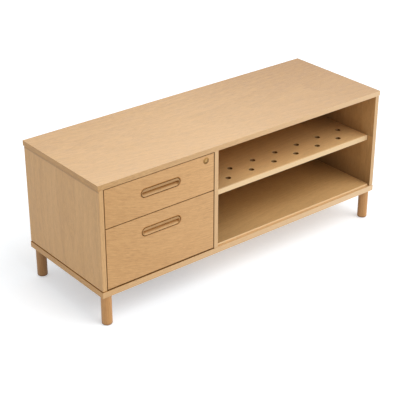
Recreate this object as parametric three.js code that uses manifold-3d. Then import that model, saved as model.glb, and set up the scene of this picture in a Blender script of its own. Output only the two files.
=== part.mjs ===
// Office credenza: a low oak cabinet on round legs. Two drawers on telescopic runners stand beside
// an open bay with one perforated shelf. Millimetres, X along the length, front towards -Y, Z up.
// The origin is on the floor, below the middle of the cabinet.
import * as THREE from 'three';
import { mergeVertices } from 'three/addons/utils/BufferGeometryUtils.js';
import Module from 'manifold-3d';

const wasm = await Module();
wasm.setup();

// Cabinet
const length = 1500;
const depth = 530;
const height = 622;
const topThickness = 22;
const baseThickness = 26;
const sideThickness = 20;
const dividerThickness = 20;
const backThickness = 8;
const topOverhang = 4; // top past each side panel
const baseOverhang = 2; // base past each side panel
const carcassSetback = 1.5; // upright panels behind the edges of the top and the base
const backInset = 2; // back panel in from the rear edges of the sides
const backRebate = 10; // how far the back panel reaches into each side
const shadowGrooveHeight = 3.5; // dark line along the foot of each side panel
const shadowGrooveDepth = 4;
const headGrooveHeight = 3; // thin line under the top at each side panel
const headGrooveDepth = 3;
const drawerBayWidth = 534; // clear width between the left side and the divider

// Open bay
const deckThickness = 8;
const deckSetback = 12;
const lowerBayHeight = 213.5; // deck to the shelf's underside
const shelfThickness = 22;
const shelfSetback = 31;
const shelfEndGap = 3;
const shelfBackGap = 2;
const holeDiameter = 24;
const holePitch = 128;
const frontRowHoles = 6; // the row behind has one more, half a pitch across
const holeRowFromFront = 60;
const holeRowSpacing = 66;
const pinDiameter = 5;
const pinInsertion = 9;
const pegDiameter = 8;
const pegLength = 9;
const pinFromShelfEdge = 50;

// Legs
const legHeight = 135; // floor to the base's underside
const legDiameter = 44;
const legInsetX = 31; // leg axis in from the base's end
const legInsetY = 26; // leg axis in from the base's front and rear edges
const legEase = 3.5; // rounded foot edge
const glideDiameter = 30;
const glideThickness = 3;
const glideProud = 1.5;
const boltDiameter = 10;
const boltInLeg = 38;
const insertDiameter = 14;
const insertLength = 20;

// Drawers
const frontThickness = 20;
const frontGap = 4; // beside, above and between the drawer fronts
const frontFootGap = 6; // below the lower front
const frontInset = 0.5; // fronts behind the edges of the upright panels
const upperFrontHeight = 163.5;
const boxRearGap = 41.5; // behind the drawer box, up to the back panel
const boxSideThickness = 12;
const boxBackThickness = 12;
const boxBottomThickness = 6;
const upperBoxLift = 14; // drawer box above the lower edge of its front
const lowerBoxLift = 11.5;
const upperBoxHeight = 105;
const lowerBoxHeight = 200;
const bottomGrooveDepth = 6;
const bottomFromEdge = 12; // drawer bottom above the lower edge of the box

// Inset finger pulls
const pullLength = 184; // face of the insert
const pullHeight = 32;
const pullDepth = 16;
const pullFromTop = 71; // pull axis below the top edge of the front
const pullRim = 2.5;
const pullEase = 0.6; // chamfer of the face and of the pocket's mouth
const pullShadowGap = 3; // open joint all round the face
const pullShadowDepth = 11; // down to the flange that seats the insert
const pullFit = 0.4; // flange in its pocket
const lipHeight = 9.5;
const lipThickness = 3;
const scoopDepth = 13.5;
const rampRise = 9.5; // lower rim to where the back wall stands upright

// Telescopic runners
const runnerSpace = 13; // between a drawer box and the panel beside it
const runnerSetback = 3; // behind the drawer front
const runnerRearGap = 2; // short of the rear end of the drawer box
const runnerHeight = 45;
const runnerSheet = 1.2;
const runnerLip = 4;
const runnerReach = 9.3; // depth of the cabinet member
const runnerPlay = 0.6; // between flanges that run in each other
const runnerSideGap = 0.8;
const runnerFromBoxBottom = 42; // runner axis above the lower edge of the box
const screwHoleDiameter = 5;
const screwHoleFromEnd = 37;
const screwHoles = 3;

// Cam lock
const lockFromTop = 22.5; // lock axis below the top edge of the upper front
const lockFromSide = 39.5; // lock axis in from the right edge of the upper front
const rosetteDiameter = 28.5;
const rosetteProud = 2;
const rosetteFlat = 1; // level ring round the plug, before the face slopes away
const rosetteRim = 0.4; // height of the outer edge
const lockBodyDiameter = 18;
const lockBodyBehind = 8; // body past the back of the drawer front
const plugDiameter = 12;
const plugPlay = 0.3;
const plugRecess = 1; // plug behind the face of its housing
const keywayLength = 7;
const keywayWidth = 1.6;
const keywayDepth = 5;
const tenonSize = 7;
const nutAcrossFlats = 22;
const nutThickness = 4;
const camThickness = 2.5;
const camWidth = 14;
const camTipGap = 2.2; // turned cam below the strike's foot
const camBite = 7; // turned cam behind the strike's leg
const camScrewDiameter = 4;
const camScrewLength = 7;
const camScrewHead = 10;
const camScrewHeadThickness = 2.5;
const strikeSheet = 2;
const strikeWidth = 30;
const strikeFoot = 26;
const strikeGap = 2; // strike behind the closed drawer front

// Fits and facets
const seam = 0.3; // joint line between pieces that touch
const holePlay = 0.3; // round hole around its pin, on the radius
const cutPast = 1; // cutting solids past the face that they open
const weldDistance = 1e-4;
const roundSides = 32;
const smallSides = 16;
const arcSteps = 12;
const easeSteps = 4;

// Levels and planes that follow from the sizes above
const baseTop = legHeight + baseThickness;
const topUnderside = height - topThickness;
const sideOuterX = length / 2 - topOverhang;
const sideInnerX = sideOuterX - sideThickness;
const baseEndX = sideOuterX + baseOverhang;
const frontY = -depth / 2;
const panelFrontY = frontY + carcassSetback;
const panelRearY = -panelFrontY;
const backFaceY = panelRearY - backInset - backThickness; // inner face of the back panel
const dividerLeftX = -sideInnerX + drawerBayWidth;
const dividerRightX = dividerLeftX + dividerThickness;
const deckTop = baseTop + seam + deckThickness;
const shelfUnderside = deckTop + lowerBayHeight;
const shelfLeftX = dividerRightX + shelfEndGap;
const shelfRightX = sideInnerX - shelfEndGap;
const shelfFrontY = panelFrontY + shelfSetback;
const shelfRearY = backFaceY - shelfBackGap;
const pinLevel = shelfUnderside - seam - pegDiameter / 2;
const pinRows = [shelfFrontY + pinFromShelfEdge, shelfRearY - pinFromShelfEdge];
const legX = baseEndX - legInsetX;
const legY = depth / 2 - legInsetY;
const insertTop = legHeight + insertLength;
const frontWidth = drawerBayWidth - 2 * frontGap;
const lowerFrontHeight = topUnderside - baseTop - upperFrontHeight - 2 * frontGap - frontFootGap;
const drawerX = -sideInnerX + drawerBayWidth / 2;
const drawerY = panelFrontY + frontInset;
const lowerDrawerZ = baseTop + frontFootGap;
const upperDrawerZ = lowerDrawerZ + lowerFrontHeight + frontGap;
const boxHalfWidth = drawerBayWidth / 2 - runnerSpace;
const boxInnerHalf = boxHalfWidth - boxSideThickness;
const boxRearY = backFaceY - drawerY - boxRearGap; // from the drawer front's face
const runnerLength = boxRearY - frontThickness - runnerSetback - runnerRearGap;
const lockX = frontWidth / 2 - lockFromSide;
const lockZ = upperFrontHeight - lockFromTop;
const camLength = lockFromTop + frontGap - seam - strikeSheet - camTipGap;
const strikeDrop = strikeSheet + camTipGap + camBite;

// Materials
const finish = (color, roughness, metalness = 0) =>
  new THREE.MeshStandardMaterial({ color, roughness, metalness });
const oakVeneer = finish(0xd8b283, 0.55);
const solidOak = finish(0xc69a66, 0.5);
const birchPly = finish(0xe0c9a0, 0.6);
const zincSteel = finish(0xb4b8bb, 0.35, 0.9);
const brass = finish(0xb98d4c, 0.35, 0.9);
const blackPlastic = finish(0x2a2a2a, 0.7);

// Geometry with shared corners, only positions and no collapsed triangles
function weld(geometry) {
  geometry.deleteAttribute('normal');
  geometry.deleteAttribute('uv');
  const welded = mergeVertices(geometry, weldDistance);
  const corners = [];
  const index = welded.getIndex().array;
  for (let i = 0; i < index.length; i += 3) {
    const [a, b, c] = [index[i], index[i + 1], index[i + 2]];
    if (a !== b && b !== c && c !== a) corners.push(a, b, c);
  }
  welded.setIndex(corners);
  welded.clearGroups();
  return welded;
}

function toSolid(geometry) {
  const welded = weld(geometry);
  return new wasm.Manifold(new wasm.Mesh({
    numProp: 3,
    vertProperties: welded.getAttribute('position').array,
    triVerts: Uint32Array.from(welded.getIndex().array),
  }));
}

function toGeometry(solid) {
  const mesh = solid.getMesh();
  const geometry = new THREE.BufferGeometry();
  geometry.setAttribute('position', new THREE.BufferAttribute(mesh.vertProperties, 3));
  geometry.setIndex(new THREE.BufferAttribute(mesh.triVerts, 1));
  geometry.computeVertexNormals();
  return geometry;
}

function cut(geometry, tools) {
  return toGeometry(tools.reduce((solid, tool) => solid.subtract(toSolid(tool)), toSolid(geometry)));
}

function join(geometry, addition) {
  return toGeometry(toSolid(geometry).add(toSolid(addition)));
}

function overlap(geometry, other) {
  return toGeometry(toSolid(geometry).intersect(toSolid(other)));
}

// Square-edged board between two opposite corners
function board([x0, y0, z0], [x1, y1, z1]) {
  const box = new THREE.BoxGeometry(x1 - x0, y1 - y0, z1 - z0);
  return box.translate((x0 + x1) / 2, (y0 + y1) / 2, (z0 + z1) / 2);
}

// Outline drawn in X and Z, carried along Y from y0 to y1. A chamfer eases both ends.
function alongY(outline, y0, y1, chamfer = 0) {
  const settings = { depth: y1 - y0 - 2 * chamfer, bevelEnabled: chamfer > 0, curveSegments: arcSteps };
  const ease = { bevelSegments: 1, bevelThickness: chamfer, bevelSize: chamfer, bevelOffset: -chamfer };
  const prism = new THREE.ExtrudeGeometry(outline, { ...settings, ...ease });
  return prism.rotateX(Math.PI / 2).translate(0, y1 - chamfer, 0);
}

// Outline drawn in Y and Z, carried along X from x0 to x1
function alongX(outline, x0, x1) {
  const settings = { depth: x1 - x0, bevelEnabled: false, curveSegments: arcSteps };
  const prism = new THREE.ExtrudeGeometry(outline, settings);
  const axes = new THREE.Matrix4().makeBasis(
    new THREE.Vector3(0, 1, 0), new THREE.Vector3(0, 0, 1), new THREE.Vector3(1, 0, 0));
  return prism.applyMatrix4(axes).translate(x0, 0, 0);
}

// Round bars along each axis, from one end to the other
function rodZ(diameter, z0, z1, sides = smallSides) {
  const bar = new THREE.CylinderGeometry(diameter / 2, diameter / 2, z1 - z0, sides);
  return bar.rotateX(Math.PI / 2).translate(0, 0, (z0 + z1) / 2);
}

function rodY(diameter, y0, y1, sides = smallSides) {
  const bar = new THREE.CylinderGeometry(diameter / 2, diameter / 2, y1 - y0, sides);
  return bar.translate(0, (y0 + y1) / 2, 0);
}

function rodX(diameter, x0, x1, sides = smallSides) {
  const bar = new THREE.CylinderGeometry(diameter / 2, diameter / 2, x1 - x0, sides);
  return bar.rotateZ(Math.PI / 2).translate((x0 + x1) / 2, 0, 0);
}

// Turned piece about Z from a profile of [radius, height], counter-clockwise in that plane
function turned(profile, sides = roundSides) {
  const points = profile.map(([radius, level]) => new THREE.Vector2(radius, level));
  return weld(new THREE.LatheGeometry(points, sides).rotateX(Math.PI / 2));
}

function polygon(points) {
  return new THREE.Shape(points.map(([x, y]) => new THREE.Vector2(x, y)));
}

// Straight sides with half-round ends, about the origin
function stadium(long, high) {
  const radius = high / 2;
  const straight = long / 2 - radius;
  const outline = new THREE.Shape();
  outline.moveTo(-straight, -radius);
  outline.lineTo(straight, -radius);
  outline.absarc(straight, 0, radius, -Math.PI / 2, Math.PI / 2, false);
  outline.lineTo(-straight, radius);
  outline.absarc(-straight, 0, radius, Math.PI / 2, 1.5 * Math.PI, false);
  return outline;
}

function piece(name, geometry, material, parent, place = [0, 0, 0]) {
  const mesh = new THREE.Mesh(geometry, material);
  mesh.name = name;
  mesh.position.set(...place);
  parent.add(mesh);
  return mesh;
}

function group(parent, place = [0, 0, 0]) {
  const node = new THREE.Group();
  node.position.set(...place);
  parent.add(node);
  return node;
}

const credenza = new THREE.Group();

// Top and base slabs
function makeSlabs(parent) {
  const top = board([-length / 2, frontY, topUnderside], [length / 2, -frontY, height]);
  piece('top_panel', top, oakVeneer, parent);
  const sockets = [];
  for (const x of [-legX, legX]) {
    for (const y of [-legY, legY]) {
      const socket = rodZ(insertDiameter + 2 * holePlay, legHeight - cutPast, insertTop + seam);
      sockets.push(socket.translate(x, y, 0));
    }
  }
  const base = board([-baseEndX, frontY, legHeight], [baseEndX, -frontY, baseTop]);
  piece('base_panel', cut(base, sockets), oakVeneer, parent);
}

// Blind holes for the shelf pins in an upright face that looks towards facing (+1 or -1 along X)
function pinSockets(faceX, facing) {
  return pinRows.map((y) => {
    const mouth = faceX + facing * cutPast;
    const end = faceX - facing * (pinInsertion + seam);
    const socket = rodX(pinDiameter + 2 * holePlay, Math.min(mouth, end), Math.max(mouth, end));
    return socket.translate(0, y, pinLevel);
  });
}

// Side panel at the end towards side (-1 left, +1 right): rear rebate and shadow grooves at head and foot
function makeSide(name, side, parent) {
  const bottom = baseTop + seam;
  const span = (from, to) => [Math.min(side * from, side * to), Math.max(side * from, side * to)];
  const block = (from, to, y0, y1, z0, z1) => {
    const [x0, x1] = span(from, to);
    return board([x0, y0, z0], [x1, y1, z1]);
  };
  const panel = block(sideInnerX, sideOuterX, panelFrontY, panelRearY, bottom, topUnderside - seam);
  const rebate = block(sideInnerX - cutPast, sideInnerX + backRebate, backFaceY - seam,
    panelRearY + cutPast, bottom - cutPast, topUnderside + cutPast);
  const groove = block(sideOuterX - shadowGrooveDepth, sideOuterX + cutPast, frontY - cutPast,
    -frontY + cutPast, bottom - cutPast, bottom + shadowGrooveHeight);
  const headGroove = block(sideOuterX - headGrooveDepth, sideOuterX + cutPast, frontY - cutPast,
    -frontY + cutPast, topUnderside - seam - headGrooveHeight, topUnderside + cutPast);
  const tools = [rebate, groove, headGroove];
  if (side > 0) tools.push(...pinSockets(sideInnerX, -1));
  piece(name, cut(panel, tools), oakVeneer, parent);
}

// Divider and back panel
function makeInnerPanels(parent) {
  const bottom = baseTop + seam;
  const top = topUnderside - seam;
  const divider = board([dividerLeftX, panelFrontY, bottom], [dividerRightX, backFaceY - seam, top]);
  piece('divider_panel', cut(divider, pinSockets(dividerRightX, 1)), oakVeneer, parent);
  const backHalf = sideInnerX + backRebate - seam;
  const back = board([-backHalf, backFaceY, bottom], [backHalf, backFaceY + backThickness, top]);
  piece('back_panel', back, oakVeneer, parent);
}

// Bay floor, perforated shelf and the pins that carry it
function makeBay(parent) {
  const deck = board([dividerRightX + seam, panelFrontY + deckSetback, baseTop + seam],
    [sideInnerX - seam, backFaceY - seam, deckTop]);
  piece('bay_deck', deck, oakVeneer, parent);

  const shelf = board([shelfLeftX, shelfFrontY, shelfUnderside],
    [shelfRightX, shelfRearY, shelfUnderside + shelfThickness]);
  const middle = (shelfLeftX + shelfRightX) / 2;
  const holes = [];
  [frontRowHoles, frontRowHoles + 1].forEach((count, row) => {
    for (let i = 0; i < count; i += 1) {
      const holeTop = shelfUnderside + shelfThickness + cutPast;
      const hole = rodZ(holeDiameter, shelfUnderside - cutPast, holeTop, roundSides);
      const x = middle + (i - (count - 1) / 2) * holePitch;
      holes.push(hole.translate(x, shelfFrontY + holeRowFromFront + row * holeRowSpacing, 0));
    }
  });
  piece('shelf', cut(shelf, holes), oakVeneer, parent);

  const pinProfile = [[0, -pinInsertion], [pinDiameter / 2, -pinInsertion], [pinDiameter / 2, seam],
    [pegDiameter / 2, seam], [pegDiameter / 2, pegLength], [0, pegLength]];
  const ends = [['left', dividerRightX, Math.PI / 2], ['right', sideInnerX, -Math.PI / 2]];
  for (const [end, x, turn] of ends) {
    pinRows.forEach((y, row) => {
      const name = `shelf_pin_${row === 0 ? 'front' : 'rear'}_${end}`;
      piece(name, turned(pinProfile, smallSides), zincSteel, parent, [x, y, pinLevel]).rotation.y = turn;
    });
  }
}

// One round leg with its glide, its hanger bolt and the threaded insert in the base
function makeLeg(corner, x, y, parent) {
  const leg = group(parent, [x, y, 0]);
  const radius = legDiameter / 2;
  const legTop = legHeight - seam;
  const recessTop = glideThickness + seam;
  const recessRadius = glideDiameter / 2 + holePlay;
  const boreRadius = boltDiameter / 2 + holePlay;
  const boreEnd = legTop - boltInLeg - seam;
  const profile = [[0, recessTop], [recessRadius, recessTop], [recessRadius, glideProud],
    [radius - legEase, glideProud]];
  for (let i = 1; i <= easeSteps; i += 1) {
    const angle = (i / easeSteps) * Math.PI / 2;
    const out = radius - legEase * (1 - Math.sin(angle));
    profile.push([out, glideProud + legEase * (1 - Math.cos(angle))]);
  }
  profile.push([radius, legTop], [boreRadius, legTop], [boreRadius, boreEnd], [0, boreEnd]);
  piece(`leg_${corner}`, turned(profile), solidOak, leg);

  piece(`leg_glide_${corner}`, rodZ(glideDiameter, 0, glideThickness, roundSides), blackPlastic, leg);
  piece(`leg_bolt_${corner}`, rodZ(boltDiameter, legTop - boltInLeg, insertTop - seam), zincSteel, leg);
  const ring = [[boreRadius, legHeight + seam], [insertDiameter / 2, legHeight + seam],
    [insertDiameter / 2, insertTop], [boreRadius, insertTop], [boreRadius, legHeight + seam]];
  piece(`leg_insert_${corner}`, turned(ring, smallSides), zincSteel, leg);
}

// Oak insert with a ramp that runs in and up behind an upper lip, where the fingers hook in
function makePull(name, parent, place) {
  const half = pullHeight / 2;
  const lowest = -half + pullRim;
  const ceiling = half - pullRim;
  const lipEdge = half - lipHeight;
  const flangeRoom = 2 * (pullShadowGap - pullFit);
  const flangeOutline = stadium(pullLength + flangeRoom, pullHeight + flangeRoom);
  const face = alongY(stadium(pullLength, pullHeight), 0, pullDepth, pullEase);
  const body = join(face, alongY(flangeOutline, pullShadowDepth, pullDepth));
  const section = polygon([[-cutPast, lowest], [0, lowest], [scoopDepth, lowest + rampRise],
    [scoopDepth, ceiling], [lipThickness, ceiling], [lipThickness, lipEdge], [-cutPast, lipEdge]]);
  const sweep = alongX(section, -pullLength / 2, pullLength / 2);
  const mouthOutline = stadium(pullLength - 2 * pullRim, pullHeight - 2 * pullRim);
  const mouth = alongY(mouthOutline, -2 * cutPast, pullDepth);
  piece(name, cut(body, [overlap(sweep, mouth)]), solidOak, parent, place);
}

// Pocket for the pull in a drawer front, with a chamfered mouth
function pullPocket(z) {
  const room = 2 * pullShadowGap;
  const pocket = alongY(stadium(pullLength + room, pullHeight + room), -cutPast, pullDepth + seam);
  const wide = stadium(pullLength + room + 2 * pullEase, pullHeight + room + 2 * pullEase);
  const flare = alongY(wide, -2 * pullEase - cutPast, pullEase, pullEase);
  return [pocket, flare].map((tool) => tool.translate(0, 0, z));
}

// Drawer about the middle of the lower front edge of its front
function makeDrawer(level, bottomZ, frontHeight, boxBottom, boxHeight, parent, extraCuts = []) {
  const drawer = group(parent, [drawerX, drawerY, bottomZ]);
  const boxTop = boxBottom + boxHeight;
  const floorLow = boxBottom + bottomFromEdge;
  const floorHigh = floorLow + boxBottomThickness;
  const grooveHalf = boxInnerHalf + bottomGrooveDepth;

  const front = board([-frontWidth / 2, 0, 0], [frontWidth / 2, frontThickness, frontHeight]);
  const groove = board([-grooveHalf, frontThickness - bottomGrooveDepth, floorLow - seam],
    [grooveHalf, frontThickness + cutPast, floorHigh + seam]);
  const pullZ = frontHeight - pullFromTop;
  const frontCuts = [groove, ...pullPocket(pullZ), ...extraCuts];
  piece(`${level}_drawer_front`, cut(front, frontCuts), oakVeneer, drawer);
  makePull(`${level}_drawer_pull`, drawer, [0, 0, pullZ]);

  for (const [end, side] of [['left', -1], ['right', 1]]) {
    const edges = [side * boxInnerHalf, side * boxHalfWidth].sort((a, b) => a - b);
    const wall = board([edges[0], frontThickness + seam, boxBottom], [edges[1], boxRearY, boxTop]);
    const slotEdges = [side * (boxInnerHalf - cutPast), side * grooveHalf].sort((a, b) => a - b);
    const slot = board([slotEdges[0], 0, floorLow - seam],
      [slotEdges[1], boxRearY + cutPast, floorHigh + seam]);
    piece(`${level}_drawer_${end}_side`, cut(wall, [slot]), birchPly, drawer);
  }
  const rear = board([-boxInnerHalf + seam, boxRearY - boxBackThickness, floorHigh + seam],
    [boxInnerHalf - seam, boxRearY, boxTop]);
  piece(`${level}_drawer_back`, rear, birchPly, drawer);
  const floorHalf = grooveHalf - seam;
  const floor = board([-floorHalf, frontThickness - bottomGrooveDepth + seam, floorLow],
    [floorHalf, boxRearY, floorHigh]);
  piece(`${level}_drawer_bottom`, floor, birchPly, drawer);
  return drawer;
}

// Folded sheet channel from its web to the tips of its flanges, with lips turned inwards
function channel(web, tip, half, lip) {
  const towards = Math.sign(tip - web);
  const inner = tip - towards * runnerSheet;
  const floor = web + towards * runnerSheet;
  const flange = half - runnerSheet;
  return polygon([[web, -half], [tip, -half], [tip, lip - half], [inner, lip - half], [inner, -flange],
    [floor, -flange], [floor, flange], [inner, flange], [inner, half - lip], [tip, half - lip], [tip, half],
    [web, half]]);
}

// The same with lips turned outwards
function hatChannel(web, tip, half, reach) {
  const towards = Math.sign(tip - web);
  const lipBack = tip - towards * runnerSheet;
  const floor = web + towards * runnerSheet;
  const flange = half - runnerSheet;
  return polygon([[web, -half], [lipBack, -half], [lipBack, -reach], [tip, -reach], [tip, -flange],
    [floor, -flange], [floor, flange], [tip, flange], [tip, reach], [lipBack, reach], [lipBack, half],
    [web, half]]);
}

// Three nested members between a fixed panel (x = 0) and a drawer side, opening along -Y
function makeRunner(name, place, turn, parent) {
  const runner = group(parent, place);
  runner.rotation.y = turn;
  const face = runnerSpace - 2 * seam;
  const cabinetHalf = runnerHeight / 2;
  const middleWeb = runnerSheet + runnerSideGap;
  const middleTip = runnerReach - runnerSheet - runnerSideGap;
  const middleHalf = cabinetHalf - runnerSheet - runnerPlay;
  const drawerTip = middleWeb + runnerSheet + runnerSideGap;
  const drawerHalf = middleHalf - runnerLip - runnerPlay;
  const drawerReach = middleHalf - runnerSheet - runnerPlay;
  const holesThrough = (web) => {
    const pitch = (runnerLength - 2 * screwHoleFromEnd) / (screwHoles - 1);
    return Array.from({ length: screwHoles }, (_, i) =>
      rodX(screwHoleDiameter, web - 2 * runnerSheet, web + 2 * runnerSheet)
        .translate(0, screwHoleFromEnd + i * pitch, 0));
  };
  const cabinet = alongY(channel(0, runnerReach, cabinetHalf, runnerLip), 0, runnerLength);
  piece(`${name}_cabinet_member`, cut(cabinet, holesThrough(0)), zincSteel, runner);
  const middle = alongY(channel(middleWeb, middleTip, middleHalf, runnerLip), 0, runnerLength);
  piece(`${name}_middle_member`, middle, zincSteel, runner);
  const drawer = alongY(hatChannel(face, drawerTip, drawerHalf, drawerReach), 0, runnerLength);
  piece(`${name}_drawer_member`, cut(drawer, holesThrough(face)), zincSteel, runner);
}

function makeRunners(level, boxBottomZ, parent) {
  const y = drawerY + frontThickness + runnerSetback;
  const z = boxBottomZ + runnerFromBoxBottom;
  makeRunner(`${level}_left_runner`, [-sideInnerX + seam, y, z], 0, parent);
  makeRunner(`${level}_right_runner`, [dividerLeftX - seam, y, z], Math.PI, parent);
}

// Cam lock in the upper front, about its axis, with the cam lying towards the middle of the drawer
function makeLock(drawer) {
  const lock = group(drawer, [lockX, 0, lockZ]);
  const faceY = -rosetteProud;
  const bodyEnd = frontThickness + lockBodyBehind;
  const bore = plugDiameter / 2 + plugPlay;
  const rim = rosetteDiameter / 2;
  const bodyRadius = lockBodyDiameter / 2;
  const housing = [[bore, faceY], [bore + rosetteFlat, faceY], [rim, -rosetteRim], [rim, -seam],
    [bodyRadius, -seam], [bodyRadius, bodyEnd], [bore, bodyEnd], [bore, faceY]];
  piece('lock_housing', turned(housing).rotateX(-Math.PI / 2), brass, lock);

  const camFront = bodyEnd + seam;
  const camBack = camFront + camThickness;
  const halfTenon = tenonSize / 2;
  const plugFace = faceY + plugRecess;
  const stem = join(rodY(plugDiameter, plugFace, camFront - seam / 2, roundSides),
    board([-halfTenon, bodyEnd - cutPast, -halfTenon], [halfTenon, camBack, halfTenon]));
  const keyway = board([-keywayWidth / 2, faceY - cutPast, -keywayLength / 2],
    [keywayWidth / 2, plugFace + keywayDepth, keywayLength / 2]);
  const tapping = rodY(camScrewDiameter + 2 * holePlay, camBack - camScrewLength - seam, camBack + cutPast);
  piece('lock_plug', cut(stem, [keyway, tapping]), brass, lock);

  const round = camWidth / 2;
  const camOutline = new THREE.Shape();
  camOutline.absarc(0, 0, round, -Math.PI / 2, Math.PI / 2, false);
  camOutline.lineTo(-camLength, round);
  camOutline.lineTo(-camLength, -round);
  const square = halfTenon + holePlay;
  const corners = [[-square, -square], [-square, square], [square, square], [square, -square]];
  camOutline.holes.push(polygon(corners));
  piece('lock_cam', alongY(camOutline, camFront, camBack), zincSteel, lock);

  const headFront = camBack + seam;
  const screw = [[0, camBack - camScrewLength], [camScrewDiameter / 2, camBack - camScrewLength],
    [camScrewDiameter / 2, headFront], [camScrewHead / 2, headFront],
    [camScrewHead / 2, headFront + camScrewHeadThickness], [0, headFront + camScrewHeadThickness]];
  piece('lock_cam_screw', turned(screw, smallSides).rotateX(-Math.PI / 2), zincSteel, lock);

  const corner = nutAcrossFlats / 2 / Math.cos(Math.PI / 6);
  const hexagon = polygon(Array.from({ length: 6 }, (_, i) =>
    [corner * Math.cos(i * Math.PI / 3), corner * Math.sin(i * Math.PI / 3)]));
  const nutFront = frontThickness + seam;
  const nut = alongY(hexagon, nutFront, nutFront + nutThickness);
  const nutBore = rodY(lockBodyDiameter + 2 * holePlay, nutFront - cutPast,
    nutFront + nutThickness + cutPast, roundSides);
  piece('lock_nut', cut(nut, [nutBore]), zincSteel, lock);
}

// Bracket under the top, which the turned cam catches behind
function makeStrike(parent) {
  const y0 = drawerY + frontThickness + strikeGap;
  const top = topUnderside - seam;
  const x = drawerX + lockX;
  const section = polygon([[y0, top - strikeDrop], [y0 + strikeSheet, top - strikeDrop],
    [y0 + strikeSheet, top - strikeSheet], [y0 + strikeFoot, top - strikeSheet], [y0 + strikeFoot, top],
    [y0, top]]);
  const bracket = alongX(section, x - strikeWidth / 2, x + strikeWidth / 2);
  const holes = [-1, 1].map((side) => rodZ(screwHoleDiameter, top - strikeSheet - cutPast, top + cutPast)
    .translate(x + side * strikeWidth / 4, y0 + (strikeSheet + strikeFoot) / 2, 0));
  piece('lock_strike', cut(bracket, holes), zincSteel, parent);
}

makeSlabs(credenza);
makeSide('left_side_panel', -1, credenza);
makeSide('right_side_panel', 1, credenza);
makeInnerPanels(credenza);
makeBay(credenza);
for (const [end, side] of [['left', -1], ['right', 1]]) {
  makeLeg(`front_${end}`, side * legX, -legY, credenza);
  makeLeg(`rear_${end}`, side * legX, legY, credenza);
}
makeDrawer('lower', lowerDrawerZ, lowerFrontHeight, lowerBoxLift, lowerBoxHeight, credenza);
makeRunners('lower', lowerDrawerZ + lowerBoxLift, credenza);
const lockBore = rodY(lockBodyDiameter + 2 * holePlay, -cutPast, frontThickness + cutPast, roundSides);
const upperDrawer = makeDrawer('upper', upperDrawerZ, upperFrontHeight, upperBoxLift, upperBoxHeight,
  credenza, [lockBore.translate(lockX, 0, lockZ)]);
makeRunners('upper', upperDrawerZ + upperBoxLift, credenza);
makeLock(upperDrawer);
makeStrike(credenza);

export default credenza;
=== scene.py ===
import math

import bmesh
import bpy
from mathutils import Matrix, Vector


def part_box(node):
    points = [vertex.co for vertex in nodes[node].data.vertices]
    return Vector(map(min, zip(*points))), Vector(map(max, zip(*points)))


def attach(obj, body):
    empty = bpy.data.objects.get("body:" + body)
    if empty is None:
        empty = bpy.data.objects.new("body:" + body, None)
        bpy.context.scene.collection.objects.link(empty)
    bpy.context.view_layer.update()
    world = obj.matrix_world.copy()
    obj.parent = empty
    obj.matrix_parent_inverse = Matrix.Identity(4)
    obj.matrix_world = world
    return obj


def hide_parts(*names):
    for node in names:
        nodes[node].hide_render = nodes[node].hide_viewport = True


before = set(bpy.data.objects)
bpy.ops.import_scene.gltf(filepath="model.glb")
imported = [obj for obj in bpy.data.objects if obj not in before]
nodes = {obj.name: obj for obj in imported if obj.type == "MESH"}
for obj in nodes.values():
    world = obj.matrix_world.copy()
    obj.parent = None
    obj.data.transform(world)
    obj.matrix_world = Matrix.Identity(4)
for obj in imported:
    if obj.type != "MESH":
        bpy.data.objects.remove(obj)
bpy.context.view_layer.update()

scene = bpy.context.scene
axisNames = ("X", "Y", "Z")
print("frame loaded,", len(nodes), "nodes")


# camera and light

cameraLook = {
    "azimuth": -38.85,
    "elevation": 27.25,
    "distance": 4.947,
    "target": (-0.0546, 0.0, 0.2357),
    "lens": 103.1,
    "sensor": 36.0,
}


def towards(azimuth, elevation):
    a = math.radians(azimuth)
    e = math.radians(elevation)
    return Vector((math.sin(a) * math.cos(e), -math.cos(a) * math.cos(e), math.sin(e)))


# the turn of a camera or lamp that stands back from what it points at
def aimed(back):
    return (-back).to_track_quat("-Z", "Y").to_euler()


def makeCamera(look):
    data = bpy.data.cameras.new("camera")
    data.lens = look["lens"]
    data.sensor_width = look["sensor"]
    camera = bpy.data.objects.new("camera", data)
    back = towards(look["azimuth"], look["elevation"])
    camera.location = Vector(look["target"]) + back * look["distance"]
    camera.rotation_euler = aimed(back)
    scene.collection.objects.link(camera)
    scene.camera = camera


def addNode(tree, kind, inputs=None, **settings):
    made = tree.nodes.new(kind)
    for key, value in settings.items():
        setattr(made, key, value)
    for key, value in (inputs or {}).items():
        if isinstance(value, bpy.types.NodeSocket):
            tree.links.new(value, made.inputs[key])
        else:
            made.inputs[key].default_value = value
    return made


def maths(tree, operation, a, b=0.0, clamp=False):
    return addNode(tree, "ShaderNodeMath", {0: a, 1: b}, operation=operation, use_clamp=clamp).outputs[0]


def vectorMaths(tree, operation, a, b):
    return addNode(tree, "ShaderNodeVectorMath", {0: a, 1: b}, operation=operation).outputs[0]


# rays that the eye sends out, and rays that a shine sends on, as against those that light the object
def seenRays(tree):
    path = addNode(tree, "ShaderNodeLightPath")
    shine = maths(tree, "MAXIMUM", path.outputs["Is Glossy Ray"], path.outputs["Is Transmission Ray"])
    return path.outputs["Is Camera Ray"], shine


lightLook = {
    "sunStrength": 1.35,
    "sunSoftness": 48.0,
    "sunAzimuth": 28.0,
    "sunElevation": 52.0,
    "skyColour": (1.0, 1.0, 1.0, 1.0),
    "skyStrength": 0.64,
    "mirrored": 2.0,
    "shown": 1.0,
}


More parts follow.
